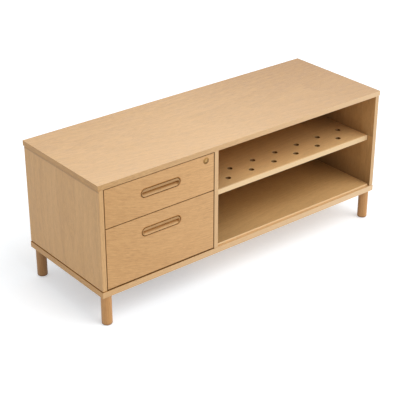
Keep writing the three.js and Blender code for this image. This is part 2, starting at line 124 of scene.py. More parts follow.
def makeLight(look):
    world = bpy.data.worlds.new("studio")
    world.use_nodes = True
    scene.world = world
    tree = world.node_tree
    tree.nodes.clear()
    eye, shine = seenRays(tree)
    sky = look["skyColour"]
    lit = addNode(tree, "ShaderNodeBackground", {"Color": sky, "Strength": look["skyStrength"]})
    mirrored = addNode(tree, "ShaderNodeBackground", {"Color": sky, "Strength": look["mirrored"]})
    shown = addNode(tree, "ShaderNodeBackground", {"Color": sky, "Strength": look["shown"]})
    unseen = addNode(tree, "ShaderNodeMixShader", {0: shine, 1: lit.outputs[0], 2: mirrored.outputs[0]})
    mixed = addNode(tree, "ShaderNodeMixShader", {0: eye, 1: unseen.outputs[0], 2: shown.outputs[0]})
    addNode(tree, "ShaderNodeOutputWorld", {"Surface": mixed.outputs[0]})

    data = bpy.data.lights.new("overhead", "SUN")
    data.energy = look["sunStrength"]
    data.angle = math.radians(look["sunSoftness"])
    lamp = bpy.data.objects.new("overhead", data)
    lamp.rotation_euler = aimed(towards(look["sunAzimuth"], look["sunElevation"]))
    scene.collection.objects.link(lamp)


floorLook = {
    "halfSize": 40.0,
    "drop": 0.0002,
    "bounce": (0.82, 0.81, 0.8, 1.0),
    "shown": (0.82, 0.85, 0.875, 1.0),
    "glow": (0.39, 0.402, 0.413, 1.0),
    "glowStrength": 1.0,
}


# the floor glows a little to the eye and in a shine, and only bounces light onto the object
def makeFloor(look):
    material = bpy.data.materials.new("paleFloor")
    material.use_nodes = True
    tree = material.node_tree
    tree.nodes.clear()
    bounce = addNode(tree, "ShaderNodeBsdfDiffuse", {"Color": look["bounce"]})
    shade = addNode(tree, "ShaderNodeBsdfDiffuse", {"Color": look["shown"]})
    glow = addNode(tree, "ShaderNodeEmission", {"Color": look["glow"], "Strength": look["glowStrength"]})
    shown = addNode(tree, "ShaderNodeAddShader", {0: shade.outputs[0], 1: glow.outputs[0]})
    seen = maths(tree, "MAXIMUM", *seenRays(tree))
    mixed = addNode(tree, "ShaderNodeMixShader", {0: seen, 1: bounce.outputs[0], 2: shown.outputs[0]})
    addNode(tree, "ShaderNodeOutputMaterial", {"Surface": mixed.outputs[0]})

    work = bmesh.new()
    bmesh.ops.create_grid(work, x_segments=1, y_segments=1, size=look["halfSize"],
                          matrix=Matrix.Translation((0.0, 0.0, -look["drop"])))
    mesh = bpy.data.meshes.new("floor")
    work.to_mesh(mesh)
    work.free()
    mesh.materials.append(material)
    floor = bpy.data.objects.new("floor", mesh)
    scene.collection.objects.link(floor)


scene.view_settings.view_transform = "Standard"
makeCamera(cameraLook)
makeLight(lightLook)
makeFloor(floorLook)
print("camera, light and floor made")


# patterns and colours for every material

patternMiddle = 0.5  # a noise swings about this
patternRange = (0.3, 0.7)  # and mostly stays between these
fineNoise = {"detail": 3.0, "roughness": 0.6}
simpleNoise = {"detail": 1.0}
turned = {"onto": 0.7, "across": 0.45}  # the normal's share along an axis, at least and at most


def newMaterial(name):
    material = bpy.data.materials.new(name)
    material.use_nodes = True
    tree = material.node_tree
    return material, tree, tree.nodes["Principled BSDF"]


def splitVector(tree, vector):
    parts = addNode(tree, "ShaderNodeSeparateXYZ", {0: vector})
    return {axis: parts.outputs[axis] for axis in axisNames}


# a frame whose X runs with the grain
def grainFrame(tree, place, along):
    others = [axis for axis in axisNames if axis != along]
    frameNode = addNode(tree, "ShaderNodeCombineXYZ",
                        {"X": place[along], "Y": place[others[0]], "Z": place[others[1]]})
    return frameNode.outputs[0]


def faces(tree, facing, axis):
    return maths(tree, "GREATER_THAN", maths(tree, "ABSOLUTE", facing[axis]), turned["onto"])


def mixVectors(tree, factor, a, b):
    return addNode(tree, "ShaderNodeMix", {0: factor, 4: a, 5: b}, data_type="VECTOR").outputs[1]


def mixColours(tree, factor, a, b, blend="MIX"):
    made = addNode(tree, "ShaderNodeMix", {0: factor, 6: a, 7: b}, data_type="RGBA", blend_type=blend)
    return made.outputs[2]


# a colour times a tone that is the same everywhere
def dyed(tree, colour, tone):
    return mixColours(tree, 1.0, colour, (*tone, 1.0), "MULTIPLY")


# a colour times a factor that changes from place to place
def tinted(tree, colour, factor):
    grey = addNode(tree, "ShaderNodeCombineColor", {0: factor, 1: factor, 2: factor}).outputs[0]
    return mixColours(tree, 1.0, colour, grey, "MULTIPLY")


def stretch(tree, vector, scale, offset=(0.0, 0.0, 0.0), turn=(0.0, 0.0, 0.0)):
    return addNode(tree, "ShaderNodeMapping", {0: vector, 1: offset, 2: turn, 3: scale}).outputs[0]


def noise(tree, vector, detail=2.0, roughness=0.5):
    made = addNode(tree, "ShaderNodeTexNoise",
                   {"Vector": vector, "Scale": 1.0, "Detail": detail, "Roughness": roughness})
    return made.outputs["Fac"], made.outputs["Color"]


def remap(tree, value, low, high, newLow, newHigh):
    made = addNode(tree, "ShaderNodeMapRange", {0: value, 1: low, 2: high, 3: newLow, 4: newHigh})
    return made.outputs[0]


# a value that changes along an axis, on faces turned onto another; each end is a place and the value there
def grade(onto, along, start, end):
    return {"onto": onto, "along": along, "start": start, "end": end}


def graded(tree, place, change):
    start, first = change["start"]
    end, last = change["end"]
    return remap(tree, place[change["along"]], start, end, first, last)


# adds up signed patterns, each times its strength, about the middle
def addPatterns(tree, patterns):
    total = patternMiddle
    for value, strength in patterns:
        swing = maths(tree, "MULTIPLY", maths(tree, "SUBTRACT", value, patternMiddle), strength)
        total = maths(tree, "ADD", swing, total)
    return maths(tree, "ADD", total, 0.0, clamp=True)


# colour, and roughness and bump from the material's own patterns
def finishShader(tree, shader, colour, sheen, height, look):
    tree.links.new(colour, shader.inputs["Base Color"])
    tree.links.new(remap(tree, sheen, *patternRange, *look["roughness"]), shader.inputs["Roughness"])
    bump = addNode(tree, "ShaderNodeBump",
                   {"Strength": look["bump"], "Distance": look["bumpDepth"], "Height": height})
    tree.links.new(bump.outputs[0], shader.inputs["Normal"])


# oak

oakLook = {
    "dark": (0.50, 0.272, 0.096, 1.0),
    "middle": (0.61, 0.352, 0.137, 1.0),
    "light": (0.69, 0.418, 0.178, 1.0),
    "darkStop": 0.1,
    "middleStop": 0.5,
    "lightStop": 0.9,
    "pore": (0.36, 0.185, 0.065, 1.0),
    # the whiter colour that painted sheen mixes in
    "paintedSheen": (0.85, 0.60, 0.355, 1.0),
    # the tint of painted shade in the patches
    "brown": (1.0, 0.84, 0.66),
    "gloss": (0.5, 0.03),
    "wanderGrain": (1.3, 5.0, 5.0),
    "warp": (0.05, 0.03, 0.03),
    "logGrain": (0.07, 1.0, 1.0),
    "logTilt": 24.0,
    "ringScale": 36.0,
    "ringNoise": {"Distortion": 2.6, "Detail": 2.0, "Detail Scale": 0.8, "Detail Roughness": 0.55},
    "ringStrength": 0.12,
    "fleckGrain": (24.0, 200.0, 200.0),
    "fleckStrength": 0.9,
    "fibreGrain": (36.0, 520.0, 520.0),
    "fibreStrength": 1.0,
    "blotchGrain": (1.6, 9.0, 9.0),
    "blotchStrength": 0.35,
    "poreGrain": (85.0, 1700.0, 1700.0),
    "poreOnRings": 0.12,
    "poreRange": (0.64, 0.76),
    "poreStrength": 0.4,
    "roughness": (0.40, 0.54),
    "fibreRelief": 0.4,
    "bump": 0.16,
    "bumpDepth": 0.0004,
}
boldLook = {**oakLook, "fibreStrength": 1.35, "fleckStrength": 1.15}


# grain lines that sag to a parabola along X
def sagged(tree, place, sag):
    axis = sag["axis"]
    away = maths(tree, "SUBTRACT", place["X"], sag["middle"])
    drop = maths(tree, "MULTIPLY", maths(tree, "MULTIPLY", away, away), sag["curve"])
    return {**place, axis: maths(tree, "SUBTRACT", place[axis], drop)}


# painted shade along the joint round a pull: where it is darkest, where it ends, and its tone
pullShadeRing = {"middle": 0.0015, "dark": 0.0016, "clear": 0.0032, "before": 0.004, "tone": 0.74}


# painted shade in the joint round a pull, and on a little of the wood on both sides of it
def pullJointShade(name):
    low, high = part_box(name)
    radius = 0.5 * (high.z - low.z)
    middle = 0.5 * (low + high)
    ring = {"x": middle.x, "z": middle.z, "straight": 0.5 * (high.x - low.x) - radius,
            "radius": radius + pullShadeRing["middle"]}
    return {"onto": "Y", "limits": {"Y": (low.y - pullShadeRing["before"], high.y)}, "tone": pullShadeRing["tone"],
            "ramps": (("Z", low.z - radius, high.z),), "ring": ring}


# 1 in that joint, 0 clear of it
def onRing(tree, place, ring):
    aside = maths(tree, "ABSOLUTE", maths(tree, "SUBTRACT", place["X"], ring["x"]))
    past = maths(tree, "MAXIMUM", maths(tree, "SUBTRACT", aside, ring["straight"]), 0.0)
    rise = maths(tree, "SUBTRACT", place["Z"], ring["z"])
    squares = maths(tree, "ADD", maths(tree, "MULTIPLY", past, past), maths(tree, "MULTIPLY", rise, rise))
    away = maths(tree, "ABSOLUTE", maths(tree, "SUBTRACT", maths(tree, "SQRT", squares), ring["radius"]))
    return remap(tree, away, pullShadeRing["dark"], pullShadeRing["clear"], 1.0, 0.0)


closeSamples = 16


# where a shaded patch lies: on faces turned onto an axis or across it, inside limits, growing along ramps,
# close to another piece, or along the outline of a pull
def patchMask(tree, place, facing, patch):
    mask = 1.0
    if "onto" in patch:
        mask = faces(tree, facing, patch["onto"])
    if "across" in patch:
        share = maths(tree, "ABSOLUTE", facing[patch["across"]])
        mask = maths(tree, "LESS_THAN", share, turned["across"])
    for axis, (low, high) in patch.get("limits", {}).items():
        mask = maths(tree, "MULTIPLY", mask, maths(tree, "GREATER_THAN", place[axis], low))
        mask = maths(tree, "MULTIPLY", mask, maths(tree, "LESS_THAN", place[axis], high))
    for axis, start, end in patch.get("ramps", ()):
        mask = maths(tree, "MULTIPLY", mask, remap(tree, place[axis], start, end, 0.0, 1.0))
    if "close" in patch:
        nearby = addNode(tree, "ShaderNodeAmbientOcclusion", {"Distance": patch["close"]},
                         samples=closeSamples)
        mask = maths(tree, "MULTIPLY", mask, maths(tree, "SUBTRACT", 1.0, nearby.outputs["AO"]))
    if "ring" in patch:
        mask = maths(tree, "MULTIPLY", mask, onRing(tree, place, patch["ring"]))
    return mask


# growth rings, flecks, fibres, blotches and pores in the warped frame of the grain
def oakPatterns(tree, warped, heart, look):
    log = stretch(tree, warped, look["logGrain"], heart, (0.0, math.radians(look["logTilt"]), 0.0))
    rings = addNode(tree, "ShaderNodeTexWave",
                    {"Vector": log, "Scale": look["ringScale"], **look["ringNoise"]},
                    wave_type="RINGS", rings_direction="X", wave_profile="SAW").outputs["Fac"]
    flecks = noise(tree, stretch(tree, warped, look["fleckGrain"]), **fineNoise)[0]
    fibres = noise(tree, stretch(tree, warped, look["fibreGrain"]), **fineNoise)[0]
    blotches = noise(tree, stretch(tree, warped, look["blotchGrain"], heart))[0]
    poreNoise = noise(tree, stretch(tree, warped, look["poreGrain"]), **simpleNoise)[0]
    poreDepth = maths(tree, "ADD", poreNoise, maths(tree, "MULTIPLY", rings, look["poreOnRings"]))
    pores = remap(tree, poreDepth, *look["poreRange"], 0.0, 1.0)
    figure = addPatterns(tree, ((rings, -look["ringStrength"]), (flecks, look["fleckStrength"]),
                                (fibres, look["fibreStrength"]), (blotches, look["blotchStrength"])))
    return figure, flecks, fibres, pores


def oakColour(tree, figure, pores, look):
    ramp = addNode(tree, "ShaderNodeValToRGB", {0: figure})
    stops = ramp.color_ramp.elements
    stops[0].position = look["darkStop"]
    stops[0].color = look["dark"]
    stops[1].position = look["lightStop"]
    stops[1].color = look["light"]
    stops.new(look["middleStop"]).color = look["middle"]
    poreShare = maths(tree, "MULTIPLY", pores, look["poreStrength"])
    return mixColours(tree, poreShare, ramp.outputs[0], look["pore"])


# grain runs along one axis, and on the end faces across the board as edge banding does;
# a painted sheen whitens, and a painted light lightens or darkens, faces turned onto one axis, along another
# axis;
# patches are painted shade, browner and duller, in recesses, joints, gaps and corners, or painted light or
# shade that keeps the gloss where they have a tint
def makeOak(name, along, ends, heart, sag=None, tone=None, endTone=None, paintedSheens=(), paintedLightFades=(), patches=(),
            look=oakLook):
    material, tree, shader = newMaterial(name)
    coords = addNode(tree, "ShaderNodeTexCoord")
    place = splitVector(tree, coords.outputs["Object"])
    facing = splitVector(tree, coords.outputs["Normal"])
    figured = sagged(tree, place, sag) if sag else place
    onEnd = faces(tree, facing, along)
    grain = mixVectors(tree, onEnd, grainFrame(tree, figured, along), grainFrame(tree, figured, ends))
    wander = noise(tree, stretch(tree, grain, look["wanderGrain"], heart))[1]
    swing = vectorMaths(tree, "SUBTRACT", wander, (patternMiddle, patternMiddle, patternMiddle))
    warped = vectorMaths(tree, "ADD", grain, vectorMaths(tree, "MULTIPLY", swing, look["warp"]))
    figure, flecks, fibres, pores = oakPatterns(tree, warped, heart, look)
    colour = oakColour(tree, figure, pores, look)

    # painted sheen, whiter where the grade says
    for paintedSheen in paintedSheens:
        sheenShare = maths(tree, "MULTIPLY", graded(tree, place, paintedSheen), faces(tree, facing, paintedSheen["onto"]))
        colour = mixColours(tree, sheenShare, colour, look["paintedSheen"])
    if tone:
        colour = dyed(tree, colour, tone)
    if endTone:
        colour = mixColours(tree, onEnd, colour, dyed(tree, colour, endTone))
    # painted light, lighter or darker where the grade says
    for paintedLightFade in paintedLightFades:
        change = maths(tree, "SUBTRACT", graded(tree, place, paintedLightFade), 1.0)
        change = maths(tree, "MULTIPLY", change, faces(tree, facing, paintedLightFade["onto"]))
        colour = tinted(tree, colour, maths(tree, "ADD", change, 1.0))
    dull = None
    # painted shade, and painted light where a patch's tone is above one
    for patch in patches:
        mask = patchMask(tree, place, facing, patch)
        patchTone = [patch["tone"] * part for part in patch.get("tint", look["brown"])]
        colour = mixColours(tree, mask, colour, dyed(tree, colour, patchTone))
        if "tint" not in patch:
            dull = maths(tree, "MAXIMUM", dull, mask) if dull else mask
    if dull:
        tree.links.new(remap(tree, dull, 0.0, 1.0, *look["gloss"]), shader.inputs["Specular IOR Level"])
    relief = maths(tree, "SUBTRACT", maths(tree, "MULTIPLY", fibres, look["fibreRelief"]), pores)
    finishShader(tree, shader, colour, flecks, relief, look)
    return material


# plywood, metal and plastic

plyLook = {
    "light": (0.72, 0.56, 0.35, 1.0),
    "dark": (0.56, 0.40, 0.22, 1.0),
    "core": (0.42, 0.27, 0.13, 1.0),
    "figureGrain": (3.0, 60.0, 60.0),
    "figureStrength": 1.3,
    "fibreGrain": (30.0, 700.0, 700.0),
    "fibreStrength": 0.8,
    "pair": 0.00267,
    "layerEdge": 0.3,
    "layerStrength": 0.75,
    "roughness": (0.45, 0.6),
    "bump": 0.12,
    "bumpDepth": 0.0004,
}


# plain veneer on its faces, its layers on every edge
def makePly(name, through, along, look=plyLook):
    material, tree, shader = newMaterial(name)
    coords = addNode(tree, "ShaderNodeTexCoord")
    place = splitVector(tree, coords.outputs["Object"])
    facing = splitVector(tree, coords.outputs["Normal"])
    grain = grainFrame(tree, place, along)
    figure = noise(tree, stretch(tree, grain, look["figureGrain"]), **fineNoise)[0]
    fibres = noise(tree, stretch(tree, grain, look["fibreGrain"]))[0]
    tone = addPatterns(tree, ((figure, look["figureStrength"]), (fibres, look["fibreStrength"])))
    face = mixColours(tree, tone, look["dark"], look["light"])
    wave = maths(tree, "SINE", maths(tree, "MULTIPLY", place[through], 2.0 * math.pi / look["pair"]))
    layer = remap(tree, wave, -look["layerEdge"], look["layerEdge"], 0.0, look["layerStrength"])
    edge = mixColours(tree, layer, face, look["core"])
    colour = mixColours(tree, faces(tree, facing, through), edge, face)
    finishShader(tree, shader, colour, figure, fibres, look)
    return material


metalLook = {
    "spangleGrain": (140.0, 140.0, 140.0),
    "brushedStrength": 0.8,
    "spangleStrength": 0.8,
    "bump": 0.05,
    "bumpDepth": 0.0002,
}
rosetteLow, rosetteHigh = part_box("lock_housing")
metalLooks = {
    "zincSteel": {
        **metalLook,
        "colour": (0.62, 0.64, 0.66, 1.0),
        "shade": (0.50, 0.52, 0.55, 1.0),
        "grain": (700.0, 12.0, 700.0),
        "roughness": (0.26, 0.42),
    },
    "lockBrass": {
        **metalLook,
        "colour": (0.25, 0.14, 0.05, 1.0),
        "shade": (0.18, 0.095, 0.032, 1.0),
        "grain": (900.0, 900.0, 900.0),
        "roughness": (0.22, 0.3),
        # painted reflection: the rosette lighter towards its top and darker towards its bottom
        "paintedLightFade": {"along": "Z", "start": (rosetteLow.z, 0.85), "end": (rosetteHigh.z, 1.9)},
    },
    "plugBrass": {
        **metalLook,
        "colour": (0.60, 0.38, 0.17, 1.0),
        "shade": (0.50, 0.31, 0.12, 1.0),
        "grain": (900.0, 900.0, 900.0),
        "roughness": (0.35, 0.45),
    },
}


def makeMetal(name):
    look = metalLooks[name]
    material, tree, shader = newMaterial(name)
    coords = addNode(tree, "ShaderNodeTexCoord")
    brushed = noise(tree, stretch(tree, coords.outputs["Object"], look["grain"]), **fineNoise)[0]
    spangle = noise(tree, stretch(tree, coords.outputs["Object"], look["spangleGrain"]), **simpleNoise)[0]
    tone = addPatterns(tree, ((brushed, look["brushedStrength"]), (spangle, look["spangleStrength"])))
    colour = mixColours(tree, tone, look["shade"], look["colour"])
    # painted reflection, lighter or darker along an axis
    if "paintedLightFade" in look:
        place = splitVector(tree, coords.outputs["Object"])
        colour = tinted(tree, colour, graded(tree, place, look["paintedLightFade"]))
    finishShader(tree, shader, colour, brushed, brushed, look)
    shader.inputs["Metallic"].default_value = 1.0
    return material


plasticLook = {
    "colour": (0.025, 0.025, 0.025, 1.0),
    "worn": (0.05, 0.048, 0.046, 1.0),
    "grain": (900.0, 900.0, 900.0),
    "roughness": (0.5, 0.65),
    "bump": 0.1,
    "bumpDepth": 0.0002,
}


def makePlastic(name, look=plasticLook):
    material, tree, shader = newMaterial(name)
    coords = addNode(tree, "ShaderNodeTexCoord")
    speckle = noise(tree, stretch(tree, coords.outputs["Object"], look["grain"]))[0]
    colour = mixColours(tree, speckle, look["colour"], look["worn"])
    finishShader(tree, shader, colour, speckle, speckle, look)
    return material


# the oak of each board, pull and leg

topLow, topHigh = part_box("top_panel")
sideLow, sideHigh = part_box("left_side_panel")
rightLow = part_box("right_side_panel")[0]
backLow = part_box("back_panel")[0]
dividerLow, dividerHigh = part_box("divider_panel")
deckLow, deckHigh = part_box("bay_deck")
shelfLow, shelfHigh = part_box("shelf")
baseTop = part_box("base_panel")[1].z
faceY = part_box("upper_drawer_front")[0].y
pullLow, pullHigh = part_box("upper_drawer_pull")

plain = (1.0, 1.0, 1.0)  # the tint of a patch that only darkens or lightens
# painted shade: in the grooves, and in the gaps beside the drawers
grooveShadeTone = 0.7
gapShadeTone = 0.41  # beside the drawers
bayTone = (0.99, 1.025, 0.985)
thin = 0.004  # how far a patch on a face or in a groove reaches to both sides
rim = 0.01  # what a patch inside a piece leaves out round its outline
headBand = 0.01  # how far down the shade under the top reaches


# painted sheen on a piece's front edge, from its left end to its right end
def frontEdgeSheen(name, left, right):
    low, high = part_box(name)
    return grade("Y", "X", (low.x, left), (high.x, right))


# limits along some axes, a margin inside a piece's box
def inset(name, axes, margin):
    low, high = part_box(name)
    places = {"X": (low.x, high.x), "Y": (low.y, high.y), "Z": (low.z, high.z)}
    return {axis: (places[axis][0] + margin, places[axis][1] - margin) for axis in axes}


def around(place):
    return (place - thin, place + thin)


# painted sheen on the front edge, growing to the right, and towards the front of the face; painted light
# darker towards the back, the right end and the left of the front edge; painted shade, browner and duller,
# growing towards the right end
topBoard = {
    "along": "X",
    "ends": "Y",
    "heart": (0.1, 0.05, 0.075),
    "sag": {"axis": "Y", "middle": 0.6, "curve": 0.07},
    "endTone": (0.8, 0.745, 0.6),
    "paintedSheens": (frontEdgeSheen("top_panel", left=0.0, right=0.85),
              grade("Z", "Y", (topLow.y, 0.33), (topHigh.y, 0.0))),
    "paintedLightFades": (grade("Z", "Y", (topLow.y, 1.02), (topHigh.y, 0.9)),
              grade("Z", "X", (-0.1, 1.0), (topHigh.x, 0.79)),
              grade("Y", "X", (topLow.x, 0.9), (0.0, 1.0))),
    "patches": ({"onto": "Z", "ramps": (("X", 0.0, 1.9),), "tone": 0.95},),
    "look": {**boldLook, "fleckGrain": (22.0, 110.0, 110.0), "fibreGrain": (40.0, 260.0, 260.0)},
}

# painted sheen on its front edge, growing to the right, and on its top in the bay; painted shade in the
# groove under the left side panel and under the drawers
baseBoard = {
    "along": "X",
    "ends": "Y",
    "heart": (0.4, 0.11, 0.09),
    "endTone": (0.88, 0.835, 0.72),
    "paintedSheens": (frontEdgeSheen("base_panel", left=0.2, right=0.95),
              grade("Z", "X", (deckLow.x - 0.01, 0.0), (deckLow.x, 0.3))),
    "patches": ({"onto": "Z", "limits": {"X": (sideLow.x - thin, sideHigh.x)}, "tone": grooveShadeTone},
                {"onto": "Z", "limits": {"X": (sideHigh.x, dividerLow.x)}, "tone": 0.5}),
}

# painted sheen on its front edge, painted shade in the grooves at the foot and the head, and a band of
# painted shadow under the top
sideBoard = {
    "along": "Z",
    "ends": "Y",
    "heart": (0.2, 0.02, 0.05),
    "paintedSheens": (frontEdgeSheen("left_side_panel", left=0.1, right=0.1),),
    "patches": ({"limits": {"Z": around(sideLow.z)}, "tone": grooveShadeTone},
                {"onto": "X", "limits": {"Z": around(sideHigh.z)}, "tone": grooveShadeTone},
                {"onto": "X", "limits": {"Z": (sideHigh.z - headBand, sideHigh.z - thin)}, "tone": 0.72,
                 "tint": (1.0, 0.98, 0.92)}),
}


# shade on the right side panel's face in the bay, growing along a ramp and starting above a height
def bayShade(tone, ramp, above=0.0):
    limits = {"X": around(rightLow.x), "Z": (above, topHigh.z)}
    return {"onto": "X", "limits": limits, "ramps": (ramp,), "tone": tone, "tint": plain}


# painted sheen on its front edge, and painted shade, darker towards the base, the back, the deck and the
# shelf
rightSideBoard = {
    "along": "Z",
    "ends": "Y",
    "heart": (0.6, 0.04, 0.05),
    "paintedSheens": (frontEdgeSheen("right_side_panel", left=0.4, right=0.4),),
    "patches": (bayShade(tone=0.7, ramp=("Z", 0.42, baseTop)),
                bayShade(tone=0.45, ramp=("Y", rightLow.y + 0.03, backLow.y)),
                bayShade(tone=0.7, ramp=("Z", deckHigh.z + 0.1, deckHigh.z)),
                bayShade(tone=0.75, ramp=("Z", shelfHigh.z + 0.07, shelfHigh.z), above=shelfHigh.z)),
}

# painted sheen on its front edge, and painted shade on its face beside the drawers
dividerBoard = {
    "along": "Z",
    "ends": "Y",
    "heart": (0.9, 0.08, 0.06),
    "paintedSheens": (frontEdgeSheen("divider_panel", left=0.45, right=0.45),),
    "patches": ({"onto": "X", "limits": {"X": around(dividerLow.x)}, "tone": gapShadeTone},),
}

# painted shade, darker towards the deck
backBoard = {
    "along": "X",
    "ends": "Z",
    "heart": (0.7, 0.1, 0.03),
    "patches": ({"onto": "Y", "limits": {"Y": around(backLow.y)},
                 "ramps": (("Z", deckHigh.z + 0.1, deckHigh.z),), "tone": 0.72, "tint": plain},),
}


# shade on a board in the bay, growing from the left to the right and from the front to the rear
def cornerShade(tone, right, front, left=0.55, rear=-0.02):
    return {"onto": "Z", "ramps": (("X", left, right), ("Y", front, rear)), "tone": tone, "tint": plain}


# painted sheen along its front edge and the front of its face; painted light brighter on its front edge and
# towards the right end; painted shade towards the rear, by the divider and in the rear right corner
deckBoard = {
    "along": "X",
    "ends": "Y",
    "heart": (2.1, 0.27, 0.12),
    "tone": bayTone,
    "paintedSheens": (frontEdgeSheen("bay_deck", left=1.0, right=1.0),
              grade("Z", "Y", (deckLow.y, 0.2), (deckLow.y + 0.2, 0.0))),
    "paintedLightFades": (grade("Z", "Y", (deckLow.y, 1.0), (deckHigh.y, 0.72)),
              grade("Z", "X", (deckLow.x, 0.71), (deckLow.x + 0.3, 1.0)),
              grade("Z", "X", (deckHigh.x - 0.4, 1.0), (deckHigh.x, 1.15)),
              grade("Y", "X", (deckLow.x, 1.03), (deckHigh.x, 1.03))),
    "patches": (cornerShade(tone=0.68, right=deckHigh.x, front=-0.18),),
}

# a painted highlight in a strip along the front of its face, painted sheen on its front edge and front part,
# painted light brighter towards the front and on its front edge, and painted shade by the divider, in the
# holes and in the rear right corner
shelfBoard = {
    "along": "X",
    "ends": "Y",
    "heart": (1.3, 0.2, 0.1),
    "tone": bayTone,
    "paintedSheens": (frontEdgeSheen("shelf", left=0.95, right=0.95),
              grade("Z", "Y", (shelfLow.y, 0.3), (shelfLow.y + 0.3, 0.1)),
              grade("Z", "Y", (shelfLow.y + 0.005, 0.95), (shelfLow.y + 0.009, 0.0))),
    "paintedLightFades": (grade("Z", "Y", (shelfLow.y + 0.08, 1.32), (shelfLow.y + 0.26, 1.05)),
              grade("Z", "X", (shelfLow.x, 0.6), (shelfLow.x + 0.22, 1.0)),
              grade("Y", "X", (shelfLow.x, 1.06), (shelfHigh.x, 1.06))),
    "patches": ({"across": "Z", "limits": inset("shelf", "XY", rim), "tone": 0.3},
                cornerShade(tone=0.62, right=shelfHigh.x, front=-0.2)),
}


# painted sheen on its front edge and painted light brighter towards the right; painted shade on its edges
# where another piece is close, in the pocket for the pull, and in and beside the joint round the pull
def drawerFront(level, heart, rightPaintedLight):
    name = level + "_drawer_front"
    return {
        "along": "X",
        "ends": "Z",
        "heart": heart,
        "sag": {"axis": "Z", "middle": -0.1, "curve": 0.32},
        "tone": (1.0, 0.96, 0.94),
        "paintedSheens": (frontEdgeSheen(name, left=0.0, right=0.12),),
        "paintedLightFades": (grade("Y", "X", (-0.65, 0.98), (dividerLow.x, rightPaintedLight)),),
        "patches": ({"across": "Y", "close": 0.008, "tone": gapShadeTone},
                    {"across": "Y", "limits": inset(name, "XZ", rim), "tone": 0.8},
                    pullJointShade(level + "_drawer_pull")),
        "look": boldLook,
    }


# painted shade on the walls but for the right end and on the lip, browner and duller deep in the recess,
# in and beside the joint round the pull, and a little more on the upper pull
pullWood = {
    "along": "X",
    "ends": "Z",
    "heart": (0.3, 0.2, -0.4),
    "patches": ({"across": "Y", "ramps": (("X", pullHigh.x - 0.006, pullHigh.x - 0.018),), "tone": 0.7},
                {"onto": "Y", "tone": 0.8, "tint": (1.0, 0.97, 0.94)},
                pullJointShade("upper_drawer_pull"),
                pullJointShade("lower_drawer_pull"),
                {"ramps": (("Y", faceY + 0.006, faceY + 0.0125),), "tone": 1.0},
                {"limits": {"Z": (pullLow.z, pullHigh.z)}, "tone": 0.91, "tint": plain}),
}

legShade = {"rearStart": 0.014, "rearEnd": 0.006, "rightStart": 0.012, "rightEnd": 0.006}


# a leg's shaded rear and its lit right side
def shadeLeg(name, rear, right):
    low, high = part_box(name)
    middle = (low + high) / 2
    limits = {"X": (low.x, high.x), "Y": (low.y, high.y)}
    rearRamp = ("Y", low.y + legShade["rearStart"], high.y - legShade["rearEnd"])
    rightRamp = ("X", middle.x - legShade["rightStart"], high.x - legShade["rightEnd"])
    return ({"limits": limits, "ramps": (rearRamp,), "tone": rear, "tint": plain},
            {"limits": limits, "ramps": (rightRamp,), "tone": right, "tint": plain})


# painted shade on the rear left leg, in the cabinet's shade, and on every foot, darker towards the floor;
# painted light and shade on the front legs
legWood = {
    "along": "Z",
    "ends": "X",
    "heart": (0.3, 0.06, 0.02),
    "tone": (0.88, 0.775, 0.68),
    "patches": ({"limits": {"X": (topLow.x, 0.0), "Y": (0.0, topHigh.y)}, "tone": 0.72, "tint": plain},
                {"ramps": (("Z", 0.011, 0.0055),), "tone": 0.6, "tint": plain},
                *shadeLeg("leg_front_left", rear=0.82, right=1.18),
                *shadeLeg("leg_front_right", rear=0.6, right=1.32)),
}

boards = {
    "top": topBoard,
    "base": baseBoard,
    "side": sideBoard,
    "rightSide": rightSideBoard,
    "divider": dividerBoard,
    "back": backBoard,
    "deck": deckBoard,
    "shelf": shelfBoard,
    "upperFront": drawerFront("upper", heart=(0.5, 0.21, -0.49), rightPaintedLight=1.1),
    "lowerFront": drawerFront("lower", heart=(1.9, 0.24, -0.25), rightPaintedLight=1.04),
    "pull": pullWood,
    "leg": legWood,
}
oak = {wood: makeOak(wood + "Oak", **board) for wood, board in boards.items()}
ply = {
    "side": makePly("plySide", through="X", along="Y"),
    "back": makePly("plyBack", through="Y", along="X"),
    "bottom": makePly("plyBottom", through="Z", along="X"),
}
zincSteel = makeMetal("zincSteel")
lockBrass = makeMetal("lockBrass")
plugBrass = makeMetal("plugBrass")
blackPlastic = makePlastic("blackPlastic")
print("materials made")


# finish on the CAD pieces

arris = {
    "board": 0.0005,
    "box": 0.0006,
    "pull": 0.0005,
    "metal": 0.0002,
    "angle": 38.0,
    "segments": 2,
    "weight": 100,
    "weld": 0.00001,
}


# shades faces smooth and keeps edges sharp past the angle
def makeSmoother(angle):
    group = bpy.data.node_groups.new("smoothByAngle", "GeometryNodeTree")
    group.interface.new_socket("Geometry", in_out="INPUT", socket_type="NodeSocketGeometry")
    group.interface.new_socket("Geometry", in_out="OUTPUT", socket_type="NodeSocketGeometry")
    start = addNode(group, "NodeGroupInput")
    bare = addNode(group, "GeometryNodeRemoveAttribute",
                   {"Geometry": start.outputs[0], "Name": "custom_normal"})
    smooth = addNode(group, "GeometryNodeSetShadeSmooth",
                     {"Geometry": bare.outputs[0], "Shade Smooth": True}, domain="FACE")
    bend = addNode(group, "GeometryNodeInputMeshEdgeAngle")
    hard = addNode(group, "FunctionNodeCompare", {0: bend.outputs[0], 1: math.radians(angle)},
                   data_type="FLOAT", operation="GREATER_THAN")
    sharp = addNode(group, "GeometryNodeSetShadeSmooth",
                    {"Geometry": smooth.outputs[0], "Selection": hard.outputs[0], "Shade Smooth": False},
                    domain="EDGE")
    addNode(group, "NodeGroupOutput", {0: sharp.outputs[0]})
    return group


smoother = makeSmoother(arris["angle"])


